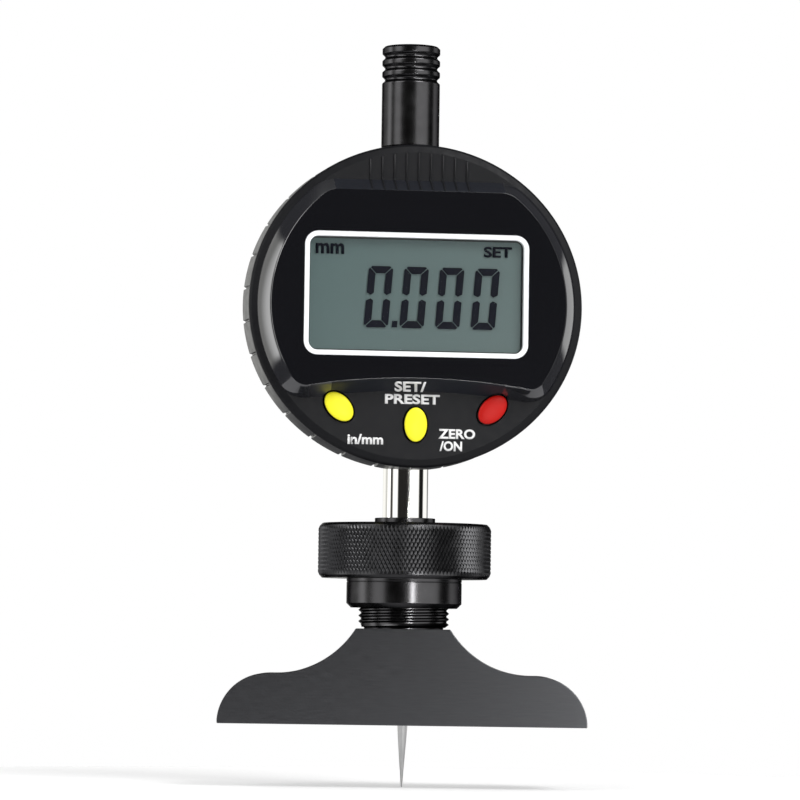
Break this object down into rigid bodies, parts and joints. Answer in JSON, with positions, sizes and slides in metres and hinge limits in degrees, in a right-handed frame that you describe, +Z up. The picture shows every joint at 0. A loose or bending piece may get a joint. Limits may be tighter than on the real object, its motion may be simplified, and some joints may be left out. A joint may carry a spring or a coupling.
{
  "type": "digital depth gauge",
  "caption": "Digital depth gauge: steel bridge, knurled clamp nut on a threaded boss, round indicator head with display and buttons, and a needle point below the bridge.",
  "frame": {"origin": "on the bridge's underside, in the middle of its front lower edge; the gauge axis stands 8.5 mm behind it", "axes": "+Z up along the stem, -Z out of the bridge's underside, +X along the bridge to the right as seen from the display's side, +Y away from the viewer"},
  "size_m": [0.065, 0.0337, 0.1314],
  "materials": {
    "base_steel": "dark satin steel, brushed along its length",
    "black_oxide": "black oxide, satin, knurled on the nut",
    "black_plastic": "black moulded plastic, fine grain",
    "gloss_black": "polished black window",
    "frame_white": "white printed frame",
    "clear": "clear window",
    "lcd_green": "grey green liquid crystal display",
    "button_yellow": "smooth moulded plastic",
    "button_red": "smooth moulded plastic",
    "chrome": "polished",
    "steel": "ground",
    "brass": "turned",
    "rubber": "black rubber",
    "board_green": "glass fibre board",
    "white_plastic": "white moulded plastic"
  },
  "bodies": {
    "base": {"base_plate": "base_steel", "threaded_boss": "black_oxide"},
    "washer": {"thrust_washer": "brass"},
    "nut": {"clamp_nut": "black_oxide"},
    "collet": {"split_collet": "black_oxide"},
    "head": {"stem": "chrome", "stem_bush": "brass", "rear_shell": "black_plastic", "ribbed_band": "black_plastic", "case_seal": "rubber", "front_cover": "black_plastic", "window_panel": "gloss_black", "display_frame": "frame_white", "display_lens": "clear", "lcd_panel": "lcd_green", "lcd_holder": "white_plastic", "zebra_strip_upper": "rubber", "zebra_strip_lower": "rubber", "dome_switch_left": "steel", "dome_switch_middle": "steel", "dome_switch_right": "steel", "circuit_board": "board_green", "board_screw_1": "steel", "board_screw_2": "steel", "back_cover": "black_plastic", "cover_screw_1": "steel", "cover_screw_2": "steel", "cover_screw_3": "steel", "cover_screw_4": "steel", "battery_holder": "white_plastic", "battery_contact": "brass", "battery": "steel", "guide_rail": "white_plastic", "upper_bush": "brass", "cap_o_ring": "rubber", "return_spring": "steel"},
    "spindle": {"spindle_rod": "steel", "needle_point": "chrome", "stop_collar": "steel", "stop_bumper": "rubber", "scale_carrier": "white_plastic", "scale_strip": "board_green", "guide_pin": "steel"},
    "left_button": {"button_left": "button_yellow"},
    "middle_button": {"button_middle": "button_yellow"},
    "right_button": {"button_right": "button_red"},
    "cap": {"dust_cap": "black_oxide"},
    "battery_door": {"battery_cap": "black_plastic"}
  },
  "joints": [
    {"name": "nut_lift", "type": "slide", "parent": "base", "child": "washer", "axis": [0, 0, 1], "range_m": [0, 0.002]},
    {"name": "nut_turn", "type": "hinge", "parent": "washer", "child": "nut", "pos_m": [0, 0.0085, 0.0307], "axis": [0, 0, 1], "range_deg": [0, 720]},
    {"name": "head_swivel", "type": "hinge", "parent": "base", "child": "collet", "pos_m": [0, 0.0085, 0.0342], "axis": [0, 0, 1], "continuous": true},
    {"name": "head_slide", "type": "slide", "parent": "collet", "child": "head", "axis": [0, 0, 1], "range_m": [-0.006, 0.008]},
    {"name": "spindle_slide", "type": "slide", "parent": "head", "child": "spindle", "axis": [0, 0, 1], "range_m": [0, 0.0127], "stiffness_N_per_m": 40, "springref_m": -0.01, "deforming": ["return_spring"]},
    {"name": "left_button_press", "type": "slide", "parent": "head", "child": "left_button", "axis": [-0.1478, 0.989, 0], "range_m": [0, 0.0005], "stiffness_N_per_m": 800, "springref_m": -0.0003},
    {"name": "middle_button_press", "type": "slide", "parent": "head", "child": "middle_button", "axis": [-0.1478, 0.989, 0], "range_m": [0, 0.0005], "stiffness_N_per_m": 800, "springref_m": -0.0003},
    {"name": "right_button_press", "type": "slide", "parent": "head", "child": "right_button", "axis": [-0.1478, 0.989, 0], "range_m": [0, 0.0005], "stiffness_N_per_m": 800, "springref_m": -0.0003},
    {"name": "cap_pull", "type": "slide", "parent": "head", "child": "cap", "axis": [0, 0, 1], "range_m": [0, 0.02]},
    {"name": "battery_cap_turn", "type": "hinge", "parent": "head", "child": "battery_door", "pos_m": [-0.01446, 0.01392, 0.0735], "axis": [-0.1478, 0.989, 0], "range_deg": [0, 90]}
  ],
  "couplings": [
    {"joint": "nut_turn", "follows": "nut_lift", "rad_per_m": 6283.2}
  ]
}
